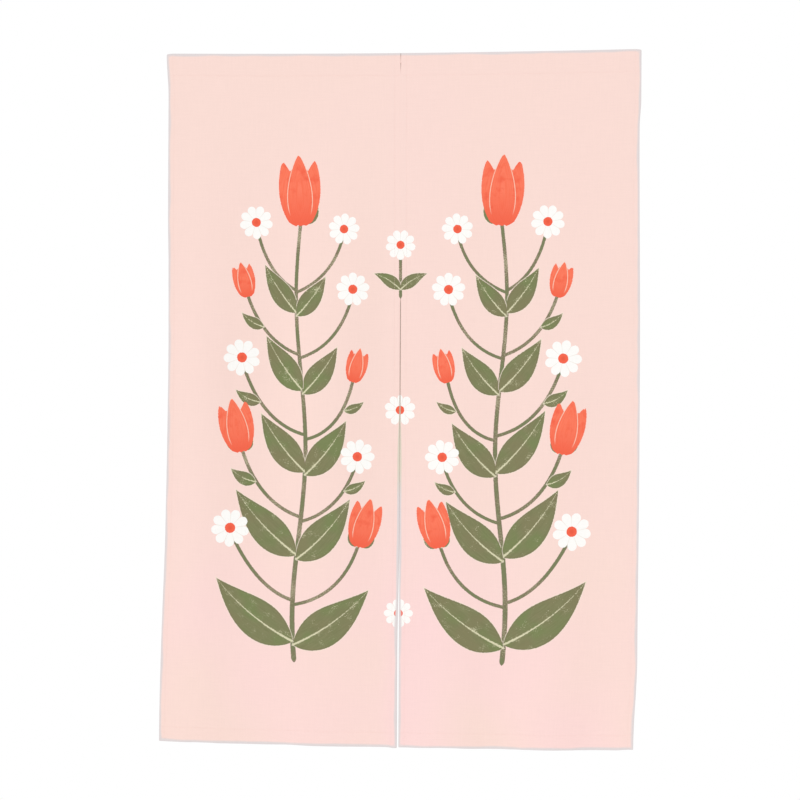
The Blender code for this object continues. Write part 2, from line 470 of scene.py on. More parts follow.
leavesOnStem = [
    # foot down, length, half width, heading, bend
    (1058, 188, 38, 66, -26),
    (1064, 172, 37, -64, 24),
    (902, 158, 33, 54, -24),
    (910, 146, 32, -54, 24),
    (752, 138, 29, 50, -22),
    (758, 124, 28, -50, 22),
    (606, 120, 26, 48, -20),
    (612, 108, 24, -48, 20),
    (466, 102, 21, 44, -18),
    (472, 92, 20, -44, 18),
]
leafTable = [(float(mainStemAt(row[0])), *row) for row in leavesOnStem] + [
    # foot across, foot down, length, half width, heading, bend
    (262, 772, 52, 13, 82, -40),
    (256, 628, 50, 12, 82, -40),
    (250, 492, 48, 11, 80, -40),
    (99, 786, 42, 10, -84, 40),
    (100, 642, 38, 9, -84, 40),
    (0, 424, 56, 12, 44, 30),
    (172, 306, 44, 9, -62, 60),
    (184, 306, 44, 9, 62, -60),
    (284, 716, 34, 8, -50, 60),
    (293, 714, 34, 8, 76, -60),
    (68, 885, 34, 8, -80, 60),
    (76, 885, 34, 8, 46, -60),
]

stalksOnStem = [
    # from down, pulled towards across and down, to across and down, half width
    (984, 256, 966, 304, 868, 3.1),
    (992, 100, 976, 72, 878, 3.0),
    (834, 258, 812, 289, 710, 3.1),
    (842, 104, 822, 78, 736, 2.9),
    (686, 252, 668, 286, 566, 3.0),
    (694, 104, 680, 84, 584, 2.9),
    (542, 252, 520, 280, 434, 2.9),
    (548, 112, 528, 88, 440, 2.8),
    (426, 242, 400, 260, 322, 2.8),
    (430, 122, 404, 104, 330, 2.7),
]
stalkTable = [(float(mainStemAt(row[0])), *row) for row in stalksOnStem] + [
    (0, 438, 0, 400, 0, 360, 2.8),
]

tulipTable = [
    # foot across, foot down, height, half width, heading
    (181, 304, 122, 46, 2),
    (289, 714, 94, 37, 12),
    (72, 882, 86, 34, -14),
    (280, 436, 62, 24, 12),
    (84, 588, 60, 23, -12),
]

daisyTable = [
    # middle across, middle down, radius, turn
    (307, 856, 34, 8),
    (76, 724, 31, 20),
    (290, 548, 33, 3),
    (86, 424, 30, 30),
    (263, 304, 30, 12),
    (102, 316, 28, 25),
    (0, 344, 27, 10),
    (0, 640, 28, 24),
    (0, 1004, 25, 0),
]


# Turns flat coordinates into a motif's own, forward and sideways from its foot
def motifCoordinates(across, down, foot, heading):
    turn = math.radians(heading)
    right, up = across - foot[0], foot[1] - down
    forward = right * math.sin(turn) + up * math.cos(turn)
    sideways = right * math.cos(turn) - up * math.sin(turn)
    return forward, sideways


# Leaves lie along an arc: the distance along it is its radius times the angle at its centre,
# and the distance beside it is the radius less the distance from its centre
def leafFields(across, down, leaf):
    footAcross, footDown, length, halfWidth, heading, bend = leaf
    forward, sideways = motifCoordinates(across, down, (footAcross, footDown), heading)
    radius = length / math.radians(abs(bend))
    beside = sideways * np.sign(bend)
    along = np.arctan2(forward, radius - beside) * radius
    beside = (radius - np.hypot(forward, radius - beside)) * np.sign(bend)
    share = along / length
    within = np.clip(share, 0.0, 1.0)
    # the half width follows a sine whose peak is nearer the foot, and runs below 0 past the ends
    shape = np.sin(np.pi * within ** printPlan["leafPeak"]) * (1.0 - printPlan["leafSlims"] * within)
    shape = np.where(share < 0.0, 3.0 * share, np.where(share > 1.0, 2.0 - 2.0 * share, shape))
    return along, beside, halfWidth * shape, share


# The distance beside the stem is the offset across times the cosine of its slope
def mainStemField(across, down):
    stem = printPlan["mainStem"]
    turn = 2.0 * np.pi / stem["wave"]
    slope = stem["sway"] * turn * np.cos(turn * (down - stem["top"]))
    beside = (across - mainStemAt(down)) / np.sqrt(1.0 + slope * slope)
    share = np.clip((down - stem["top"]) / (stem["bottom"] - stem["top"]), 0.0, 1.0)
    halfWidth = stem["thin"] + (stem["thick"] - stem["thin"]) * share
    past = np.maximum(stem["top"] - down, down - stem["bottom"])
    return np.stack([down, beside, np.minimum(halfWidth, -past)])


# A stalk is a quadratic curve, taken as short straight pieces. The nearest piece gives the
# distance along it, and beside it by the cross product. Past both ends of the stalk its half
# width shrinks by the distance.
def stalkField(across, down, stalk):
    share = np.linspace(0.0, 1.0, printPlan["stalkPieces"] + 1)[:, None]
    ends = np.array(stalk[:6], dtype=float).reshape(3, 2)
    curve = (1 - share) ** 2 * ends[0] + 2 * share * (1 - share) * ends[1] + share ** 2 * ends[2]
    starts, steps = curve[:-1], np.diff(curve, axis=0)
    lengths = np.linalg.norm(steps, axis=1)
    right = across[None] - starts[:, 0, None, None]
    below = down[None] - starts[:, 1, None, None]
    unit = (steps / lengths[:, None])[:, :, None, None]
    along = right * unit[:, 0] + below * unit[:, 1]
    onPiece = np.clip(along, 0.0, lengths[:, None, None])
    distance = np.hypot(right - onPiece * unit[:, 0], below - onPiece * unit[:, 1])
    nearest = np.argmin(distance, axis=0)[None]
    before = np.concatenate([[0.0], np.cumsum(lengths)[:-1]])[:, None, None]
    beside = np.take_along_axis(right * unit[:, 1] - below * unit[:, 0], nearest, axis=0)[0]
    travelled = np.take_along_axis(along + before, nearest, axis=0)[0]
    past = np.maximum(-travelled, travelled - lengths.sum())
    return np.stack([travelled, beside, stalk[6] - np.maximum(past, 0.0)])


# How wide a petal is at a share of its height: a root of a sine, round at its foot and closing
# to a tip. Below its foot and past its tip the width runs below 0.
def petalReach(share, halfWidth, petal):
    width, foot, power = petal
    within = np.clip(share, 0.0, 1.0)
    shape = np.maximum(np.sin(np.pi * (foot + (1.0 - foot) * within) ** power), 0.0)
    shape = shape ** printPlan["petalRoot"]
    shape = np.where(share < 0.0, shape + 9.0 * share, np.where(share > 1.0, 3.0 - 3.0 * share, shape))
    return width * halfWidth * shape


# A tulip is one upright petal before two that lean outwards. Gives how far a point lies inside
# all of it and inside the front petal, in mm, and its share of the height.
def tulipField(across, down, tulip):
    footAcross, footDown, height, halfWidth, heading = tulip
    upward, sideways = motifCoordinates(across, down, (footAcross, footDown), heading)
    share = upward / height
    off = np.abs(sideways)
    plan = printPlan
    front = petalReach(share, halfWidth, plan["frontPetal"]) - off
    starts, leans = plan["sideLeans"]
    leaning = halfWidth * (starts + leans * share)
    behind = petalReach(share / plan["sideHeight"], halfWidth, plan["sidePetal"])
    behind = behind - np.abs(off - leaning)
    return np.stack([np.maximum(front, behind), front, share])


# A daisy gives the two coordinates from its middle and its radius
def daisyField(across, down, daisy):
    centreAcross, centreDown, radius, turn = daisy
    upward, sideways = motifCoordinates(across, down, (centreAcross, centreDown), turn)
    return np.stack([sideways, upward, np.full(across.shape, float(radius))])


# Every face takes the one motif whose edge lies nearest, and keeps that motif's coordinates at
# its own corners, so the edges stay crisp inside a face
def motifCorners(fields, nearness, order):
    around = nearness[:, :-1, :-1] + nearness[:, 1:, :-1] + nearness[:, :-1, 1:] + nearness[:, 1:, 1:]
    chosen = np.argmin(around, axis=0)
    row, column = np.indices(chosen.shape)
    picked = [fields[chosen, :, row + below, column + beside] for below, beside in order]
    return np.stack(picked, axis=2)


# The two panels' leaves differ a little in length and heading, but for those on the seam
def variedLeaves(seed):
    random = np.random.default_rng(seed)
    leaves = np.array(leafTable, dtype=float)
    loose = leaves[:, 0] > 0.0
    leaves[:, 2] *= 1.0 + printPlan["lengthVaries"] * random.uniform(-1.0, 1.0, len(leaves)) * loose
    leaves[:, 4] += printPlan["headingVaries"] * random.uniform(-1.0, 1.0, len(leaves)) * loose
    return leaves


# Corner attributes that carry the print, for one face of the sheet
def printCorners(panel, grids, order):
    across, down = grids["across"] / mm, grids["down"] / mm
    leaf, look = [], []
    for number, row in enumerate(variedLeaves(panel["seed"])):
        *fields, share = leafFields(across, down, row)
        tone = number * printPlan["toneStep"] % 1.0
        size = leafTable[number][2] / printPlan["sizeUnit"]
        leaf.append(np.stack(fields))
        look.append(np.stack([share, np.full(across.shape, tone), np.full(across.shape, size)]))
    leaf, look = np.stack(leaf), np.stack(look)
    stem = mainStemField(across, down)[None]
    stalk = np.stack([stalkField(across, down, row) for row in stalkTable])
    tulip = np.stack([tulipField(across, down, row) for row in tulipTable])
    daisy = np.stack([daisyField(across, down, row) for row in daisyTable])
    leafNear = np.abs(leaf[:, 1]) - leaf[:, 2]
    stalkNear = np.abs(stalk[:, 1]) - stalk[:, 2]
    daisyNear = np.hypot(daisy[:, 0], daisy[:, 1]) - daisy[:, 2]
    return {
        "stem": motifCorners(stem, stem[:, 1], order),
        "stalk": motifCorners(stalk, stalkNear, order),
        "leaf": motifCorners(leaf, leafNear, order),
        "leafLook": motifCorners(look, leafNear, order),
        "tulip": motifCorners(tulip, -tulip[:, 0], order),
        "daisy": motifCorners(daisy, daisyNear, order),
    }


# Values that leave no ink, for the faces of the rim
noInk = {"stem": (0, 99, -99), "stalk": (0, 99, -99), "leaf": (0, 99, -99), "leafLook": (0, 0, 1),
         "tulip": (-99, 0, 0), "daisy": (99, 99, 1)}

# Bare cloth along the edges, where the dye stops short, in mm. Along the slit it begins a little
# way down, and reaches the panel's slitRim a little lower. Along the seam there is none. Where the
# slit's edges touch, the dye stops more sharply, by slitSharp times.
bareRim = {
    "outer": 3.5, "top": 4.0, "bottom": 4.2,
    "slitFrom": 0.58, "slitFull": 0.75, "aboveSlit": 3.0,
    "slitSharp": 2.2, "softFrom": 0.86, "softTo": 1.02,
}

# Where the headings' edges, and the slit's edges above its open end, touch, the crevice between them is
# painted darker, a painted shade: over this width, in metres, and fading between these two heights
creviceShadeEdge = {"width": 0.0013, "fadesFrom": 0.55, "fadesTo": 0.77, "inHeading": 0.45}


# How far a point lies inside the dyed part, in mm
def dyedInside(panel, grids):
    across, down = grids["across"], grids["down"]
    rim = bareRim
    slitRim = panel["slitRim"] * smoothStep(down, rim["slitFrom"], rim["slitFull"])
    slitRim = slitRim - rim["aboveSlit"] * (1.0 - smoothStep(down, cloth["seamEnds"], rim["slitFrom"]))
    sharp = 1.0 + (rim["slitSharp"] - 1.0) * (1.0 - smoothStep(down, rim["softFrom"], rim["softTo"]))
    return np.minimum.reduce([
        sharp * (across / mm - slitRim),
        (panelWidth - across) / mm - rim["outer"],
        down / mm - rim["top"],
        (drop - down) / mm - rim["bottom"],
    ])


# A painted crevice shade, in proportion to the nearness of the inner edge, where the panels touch
def creviceShadeAt(grids):
    across, down = grids["across"], grids["down"]
    closed = inSlit(down) * (1.0 - smoothStep(down, creviceShadeEdge["fadesFrom"], creviceShadeEdge["fadesTo"]))
    touching = np.maximum(closed, creviceShadeEdge["inHeading"] * inHeading(down))
    return np.clip(1.0 - across / creviceShadeEdge["width"], 0.0, 1.0) * touching


# Corner offsets of a quad, as rows down and columns across, in the two ways round
turnsOneWay = [(0, 0), (1, 0), (1, 1), (0, 1)]
turnsOtherWay = [(0, 0), (0, 1), (1, 1), (1, 0)]


def gridQuads(numbers, order):
    rows, columns = numbers.shape
    picked = [numbers[below:rows - 1 + below, beside:columns - 1 + beside] for below, beside in order]
    return np.stack(picked, axis=2).reshape(-1, 4)


# Where each face of the sheet lies in the square that its colours are baked to: the printed
# face in two halves side by side, the back turned and smaller in the strip above them
bakeLayout = {"square": 0.862, "margin": 0.003, "backScale": 0.53, "rimWidth": 0.0012}


def bakePlaces(across, down, isLower, isBack):
    layout = bakeLayout
    half = 0.5 * drop
    column = layout["margin"] + across + isLower * (panelWidth + 2.0 * layout["margin"])
    row = layout["margin"] + down - isLower * half
    backColumn = layout["margin"] + down * layout["backScale"]
    backRow = half + 3.0 * layout["margin"] + across * layout["backScale"]
    place = np.stack([np.where(isBack, backColumn, column), np.where(isBack, backRow, row)], axis=-1)
    return place / layout["square"]


# Puts one panel's grids, rim, attributes and maps into a mesh
def panelMesh(panel, grids):
    rows, columns = grids["across"].shape
    count = rows * columns
    numbers = np.arange(count).reshape(rows, columns)
    frontOrder = turnsOneWay if panel["side"] > 0 else turnsOtherWay
    backOrder = turnsOtherWay if panel["side"] > 0 else turnsOneWay
    frontQuads = gridQuads(numbers, frontOrder)
    backQuads = gridQuads(numbers + count, backOrder)

    # the rim runs round the edge once, and joins each edge of the front to the same of the back
    around = np.concatenate([numbers[0, :-1], numbers[:-1, -1], numbers[-1, :0:-1], numbers[:0:-1, 0]])
    after = np.roll(around, -1)
    rim = np.stack([around, after, after + count, around + count], axis=1)
    if panel["side"] < 0:
        rim = rim[:, ::-1]
    vertices = np.concatenate([grids["front"].reshape(-1, 3), grids["back"].reshape(-1, 3)])
    faces = np.concatenate([frontQuads, backQuads, rim])
    mesh = newMesh("panel_" + panel["name"] + "_cloth", vertices, faces)

    frontInk = printCorners(panel, grids, frontOrder)
    backInk = printCorners(panel, grids, backOrder)
    for name, bare in noInk.items():
        onRim = np.tile(bare, (len(rim) * 4, 1))
        values = np.concatenate([frontInk[name].reshape(-1, 3), backInk[name].reshape(-1, 3), onRim])
        addValues(mesh, name, "FLOAT_VECTOR", "CORNER", values)
    addValues(mesh, "dyed", "FLOAT", "POINT", np.tile(dyedInside(panel, grids).ravel(), 2))
    # painted shade of the crevice where the panels' edges touch
    addValues(mesh, "creviceShade", "FLOAT", "POINT", np.tile(creviceShadeAt(grids).ravel(), 2))
    addValues(mesh, "face", "FLOAT", "POINT", np.repeat([1.0, 0.0], count))

    # the flat cloth in metres, for the weave, and the places for the baked colours
    corner = faces.ravel()
    onSheet = corner % count
    flatAcross, flatDown = grids["across"].ravel()[onSheet], grids["down"].ravel()[onSheet]
    addMap(mesh, "flat", np.stack([panel["side"] * flatAcross, -flatDown], axis=1))

    part = np.repeat(np.arange(len(faces)) // len(frontQuads), 4)
    isBack, isRim = part == 1, part >= 2
    faceDown = flatDown.reshape(-1, 4).mean(axis=1)
    isLower = np.repeat(faceDown > grids["downLines"][rows // 2], 4)
    # the rim is laid open just outside the printed face
    outwards = (isRim & (corner >= count)) * bakeLayout["rimWidth"]
    beyond = (flatAcross > panelWidth - mm).astype(float) - (flatAcross < mm)
    below = (flatDown > drop - mm).astype(float) - (flatDown < mm)
    flatAcross, flatDown = flatAcross + outwards * beyond, flatDown + outwards * below
    addMap(mesh, "OFBake", bakePlaces(flatAcross, flatDown, isLower, isBack))
    mesh.set_sharp_from_angle(angle=math.radians(cloth["sharpFrom"]))
    return mesh


# The finish of the cloth. Inks are the colours that the eye sees on it.
# bare and the warmer bare tone are the bare cloth painted greyer and warmer than it is, as painted shade of
# its edges and of the upper slit; the darkest brown is painted shade in the crevice where the panels' edges
# touch
inkColours = {
    "ground": "#FBDED5", "groundPinker": "#FDDCD8", "slitPinker": "#FEDADB", "bare": "#E2DADA",
    "bareWarmShade": "#DFD7C6", "creviceShade": "#B39C8E", "backCloth": "#F3E6E1", "hairline": "#F6E7D6",
    "leaf": "#858660", "leafDark": "#7B7D57", "leafGreen": "#798656", "leafOlive": "#84805D",
    "leafBrown": "#7B6955", "stem": "#7B815D", "stemBrown": "#80735C", "cream": "#E0DCBA",
    "coral": "#FB7455", "coralDeep": "#F46247", "coralLight": "#FE8063", "petalLine": "#FBCDB8",
    "white": "#FFFEFB", "petalGap": "#EFE6DA", "centre": "#F7674C", "centreDeep": "#E4583F",
}
ink = {name: linearColour(value) for name, value in inkColours.items()}

# In the finishes below, four numbers are a range: from, to, and what it gives at each. Those that
# follow a motif are in mm or shares of its size, and the others in the value of a noise. Two
# numbers are a noise: its grains in a metre, and its detail. A brush has its strokes in a mm
# along a motif and across it, from one motif to the next, and its detail.
printLook = {
    "bleed": (-0.35, 0.35, 0.0, 1.0),     # how an ink's edge runs into the cloth
    "edgeRough": 1.1,                     # mm by which an edge wanders
    "edgeGrain": (420.0, 2.0),            # grains along that edge, about 2.4 mm each
    "chalk": (620.0, 1.0),                # chalky grains, about 1.6 mm each
    "ghost": (0.45, 0.55, 0.34, 1.0),     # how much of the print shows on the back, and in front
}


# A motif's own coordinates, from the corner attribute of its name
def motifPlace(tree, name):
    place = addNode(tree, "Attribute", output="Vector", attribute_name=name)
    return addNode(tree, "SeparateXYZ", place, output="all")


# A noise drawn out along and across a motif, as a brush leaves its ink
def brushed(tree, place, brush):
    *stretch, detail = brush
    place = addNode(tree, "CombineXYZ", *place)
    place = addNode(tree, "VectorMath", place, stretch, operation="MULTIPLY")
    return addNode(tree, "TexNoise", place, 1.0, detail)


# Inks laid over one another. Each layer is what it follows, the range of that or None, and its ink.
def layInks(tree, colour, layers):
    for shows, over, layer in layers:
        if over:
            shows = addNode(tree, "MapRange", shows, *over)
        colour = addNode(tree, "Mix", shows, colour, layer, data_type="RGBA")
    return colour


# How far off a stroke's middle line a point lies, and how far inside its edge
def insideStroke(tree, beside, halfWidth):
    off = addNode(tree, "Math", beside, operation="ABSOLUTE")
    return off, addNode(tree, "Math", halfWidth, off, operation="SUBTRACT")


leafLook = {
    "hairline": (-1.9, -0.9, 0.0, 0.75),    # the pale line round a leaf
    "brush": (0.045, 0.5, 40.0, 4.0),
    "lighter": (0.34, 0.66, 0.0, 1.0),
    "patches": (21.0, 1.0),                 # green and olive patches
    "green": (0.50, 0.64, 0.0, 0.75),
    "olive": (0.48, 0.36, 0.0, 0.75),
    "brownTip": (0.74, 1.0, 0.0, 0.6),
    "brownEdge": (3.0, 0.4, 0.0, 0.6),
    "brownStrokes": (0.4, 0.6, 0.0, 1.0),
    "clusters": (55.0, 2.0),                # clusters of grains
    "clustered": 0.9,                       # how closely the grains keep to them
    "byRib": (1.5, 6.5, 0.09, 0.0),         # more grains beside the midrib
    "grains": (1.20, 1.26, 0.0, 0.7),
    "ribWidth": (0.05, 0.88, 1.35, 0.05),   # half the midrib's width from foot to tip, in mm
    "ribRough": 1.7,                        # how much more its edge wanders than a leaf's
    "ribGrains": (2.2, 1.1),                # mm that the grains bite into it, and their middle value
    "ribEdge": (-0.3, 0.3, 0.0, 0.92),
}


# Hand-drawn leaves in olive ink, brushed along the leaf, greener and browner in patches and brown
# at the tips. A cream midrib and clusters of cream grains show where the ink was scratched off,
# and a pale line round them where it was held back.
def leafInk(tree, edgeWander, flat):
    look = leafLook
    along, beside, halfWidth = motifPlace(tree, "leaf")
    share, tone, size = motifPlace(tree, "leafLook")
    off, inside = insideStroke(tree, beside, halfWidth)
    inside = addNode(tree, "Math", inside, edgeWander, operation="ADD")
    brush = brushed(tree, (along, beside, tone), look["brush"])
    patches = addNode(tree, "TexNoise", flat, *look["patches"])
    tip = addNode(tree, "MapRange", share, *look["brownTip"])
    edge = addNode(tree, "MapRange", inside, *look["brownEdge"])
    brown = addNode(tree, "Math", tip, edge, operation="MAXIMUM")
    strokes = addNode(tree, "MapRange", brush, *look["brownStrokes"])
    brown = addNode(tree, "Math", brown, strokes, operation="MULTIPLY")

    # grains lie where a fine noise is high, more of them where a broad noise is high too and
    # beside the midrib
    chalk = addNode(tree, "TexNoise", flat, *printLook["chalk"])
    clusters = addNode(tree, "TexNoise", flat, *look["clusters"])
    grains = addNode(tree, "Math", clusters, look["clustered"], chalk, operation="MULTIPLY_ADD")
    byRib = addNode(tree, "MapRange", off, *look["byRib"])
    grains = addNode(tree, "Math", grains, byRib, operation="ADD")
    grains = addNode(tree, "MapRange", grains, *look["grains"])

    # the midrib narrows towards the tip, is wider on a larger leaf, and has rough edges
    ribWidth = addNode(tree, "MapRange", share, *look["ribWidth"])
    larger = addNode(tree, "Math", size, operation="SQRT")
    ribWidth = addNode(tree, "Math", ribWidth, larger, operation="MULTIPLY")
    bite, middle = look["ribGrains"]
    wander = addNode(tree, "Math", off, middle, operation="SUBTRACT")
    wander = addNode(tree, "Math", chalk, bite, wander, operation="MULTIPLY_ADD")
    rib = addNode(tree, "Math", ribWidth, wander, operation="SUBTRACT")
    rib = addNode(tree, "Math", edgeWander, look["ribRough"], rib, operation="MULTIPLY_ADD")
    rib = addNode(tree, "MapRange", rib, *look["ribEdge"])
    body = layInks(tree, ink["leafDark"], [
        (brush, look["lighter"], ink["leaf"]),
        (patches, look["green"], ink["leafGreen"]),
        (patches, look["olive"], ink["leafOlive"]),
        (brown, None, ink["leafBrown"]),
        (addNode(tree, "Math", rib, grains, operation="MAXIMUM"), None, ink["cream"]),
    ])
    return [(inside, look["hairline"], ink["hairline"]), (inside, printLook["bleed"], body)]


stemLook = {
    "rough": 0.8,                           # how much of the wander its edge takes
    "brush": (0.08, 0.7, 1.0, 3.0),
    "turns": (17.0, 1.0),                   # turns from green to brown
    "brownTurns": 1.6,                      # how closely the brown and the grit keep to them
    "grittyTurns": 0.8,
    "brownEdge": (1.6, 0.3, 0.0, 0.22),
    "brown": (1.20, 1.55, 0.0, 1.0),
    "grit": (0.98, 1.10, 0.0, 0.45),
}


# Stems in the same olive ink, streaked along their length, browner by turns and at their edges, and
# gritty in places
def stemInk(tree, edgeWander, name, flat):
    look = stemLook
    along, beside, halfWidth = motifPlace(tree, name)
    _, inside = insideStroke(tree, beside, halfWidth)
    inside = addNode(tree, "Math", edgeWander, look["rough"], inside, operation="MULTIPLY_ADD")
    turns = addNode(tree, "TexNoise", flat, *look["turns"])
    brush = brushed(tree, (along, beside), look["brush"])
    brown = addNode(tree, "Math", turns, look["brownTurns"], brush, operation="MULTIPLY_ADD")
    edge = addNode(tree, "MapRange", inside, *look["brownEdge"])
    brown = addNode(tree, "Math", brown, edge, operation="ADD")
    grit = addNode(tree, "TexNoise", flat, *printLook["chalk"])
    grit = addNode(tree, "Math", turns, look["grittyTurns"], grit, operation="MULTIPLY_ADD")
    body = layInks(tree, ink["stem"], [
        (brown, look["brown"], ink["stemBrown"]),
        (grit, look["grit"], ink["cream"]),
    ])
    return [(inside, printLook["bleed"], body)]


tulipLook = {
    "brush": (0.45, 3.0, 1.0, 4.0),
    "lighter": (0.35, 0.65, 0.0, 1.0),
    "patches": (60.0, 3.0),
    "deepPatch": (0.5, 0.72, 0.0, 0.8),
    "deepFoot": (0.45, 0.0, 0.0, 0.8),
    "line": (1.0, 0.5, 0.0, 0.9),           # the pale line round the front petal
    "lineRough": 0.5,
    "lineStarts": (0.10, 0.22, 0.0, 1.0),
}


# Tulips in coral: a pale line follows the front petal where it lies on the others, and the ink is
# deeper towards the foot
def tulipInk(tree, edgeWander, flat):
    look = tulipLook
    inside, front, upward = motifPlace(tree, "tulip")
    inside = addNode(tree, "Math", inside, edgeWander, operation="ADD")
    brush = brushed(tree, (front, upward), look["brush"])
    patches = addNode(tree, "TexNoise", flat, *look["patches"])
    foot = addNode(tree, "MapRange", upward, *look["deepFoot"])
    deep = addNode(tree, "MapRange", patches, *look["deepPatch"])
    deep = addNode(tree, "Math", foot, deep, operation="MAXIMUM")
    line = addNode(tree, "Math", edgeWander, look["lineRough"], front, operation="MULTIPLY_ADD")
    line = addNode(tree, "Math", line, operation="ABSOLUTE")
    line = addNode(tree, "MapRange", line, *look["line"])
    starts = addNode(tree, "MapRange", upward, *look["lineStarts"])
    body = layInks(tree, ink["coral"], [
        (brush, look["lighter"], ink["coralLight"]),
        (deep, None, ink["coralDeep"]),
        (addNode(tree, "Math", line, starts, operation="MULTIPLY"), None, ink["petalLine"]),
    ])
    return [(inside, printLook["bleed"], body)]


daisyLook = {
    "petals": 9,
    "petalDepth": 0.34,                     # how far the outline draws in between petals
    "gap": (0.16, 0.04, 0.0, 0.8),
    "centre": (0.285, 0.262, 0.0, 1.0),
    "heart": (0.17, 0.05, 0.0, 0.6),
    "centreRough": 0.03,
}


# Daisies in white: the outline is the radius times a root of a cosine of the angle, so that it
# draws in between the petals, and a coral middle
def daisyInk(tree, edgeWander):
    look = daisyLook
    sideways, upward, radius = motifPlace(tree, "daisy")
    angle = addNode(tree, "Math", upward, sideways, operation="ARCTAN2")
    petal = addNode(tree, "Math", angle, 0.5 * look["petals"], operation="MULTIPLY")
    petal = addNode(tree, "Math", petal, operation="COSINE")
    petal = addNode(tree, "Math", petal, operation="ABSOLUTE")
    reach = addNode(tree, "Math", petal, operation="SQRT")
    depth = look["petalDepth"]
    reach = addNode(tree, "Math", reach, depth, 1.0 - depth, operation="MULTIPLY_ADD")
    reach = addNode(tree, "Math", reach, radius, operation="MULTIPLY")
    squares = addNode(tree, "Math", sideways, sideways, operation="MULTIPLY")
    squares = addNode(tree, "Math", upward, upward, squares, operation="MULTIPLY_ADD")
    away = addNode(tree, "Math", squares, operation="SQRT")
    inside = addNode(tree, "Math", reach, away, operation="SUBTRACT")
    inside = addNode(tree, "Math", inside, edgeWander, operation="ADD")
    share = addNode(tree, "Math", away, radius, operation="DIVIDE")
    share = addNode(tree, "Math", edgeWander, look["centreRough"], share, operation="MULTIPLY_ADD")
    centre = layInks(tree, ink["centre"], [(share, look["heart"], ink["centreDeep"])])
    body = layInks(tree, ink["white"], [
        (petal, look["gap"], ink["petalGap"]),
        (share, look["centre"], centre),
    ])
    return [(inside, printLook["bleed"], body)]


groundLook = {
    "lower": (-0.7, -1.1, 0.12, 1.0),       # the pinker patches grow between these two heights
    "drift": 3.2,                           # patches in a metre, and how much that varies
    "driftVaries": 0.1,
    "pinker": (0.35, 0.6, 0.0, 1.0),
    "bySlit": {                             # by metres from the slit
        "left": (0.04, 0.0, 0.0, 0.45),
        "right": (0.16, 0.04, 0.0, 0.5),
    },
    "rimWander": (14.0, 1.0),
    "rimNoise": (0.3, 0.7, -1.3, 1.3),      # the rim of the dye wanders by so many mm
    "dyed": (-2.0, 2.4, 0.0, 1.0),
    # the warmer, darker bare cloth by the upper slit is a painted shade of the slit there
    "warmShadeAcross": (0.03, 0.02, 0.0, 1.0),   # the bare cloth is warmer here, in metres
    "warmShadeAbove": (-0.81, -0.74, 0.0, 1.0),
    "warmShadeBelow": (-0.30, -0.44, 0.0, 1.0),
}

weave = {
    "thread": 0.0008,          # m from one thread to the next: a coarse cotton and linen cloth
    "depth": 0.00016,          # m between the tops and the hollows of the weave
    # the next one is a painted shade: how much darker the colour is in the hollows between the threads
    "hollowShade": 0.02,
    "slubLength": 26.0,        # slubs in a metre along the thread
    "slubWidth": 420.0,        # and across it, drawn about three threads wide so that they show
    "slubShade": (0.6, 1.4, 0.984, 1.016),
    "roughness": (0.7, 1.3, 0.84, 0.92),
    "threadHeight": 0.5,       # the threads' share of the relief, beside the slubs
    "relief": 0.35,
    "shader": {"Specular IOR Level": 0.2, "Sheen Weight": 0.06, "Sheen Roughness": 0.5},
}
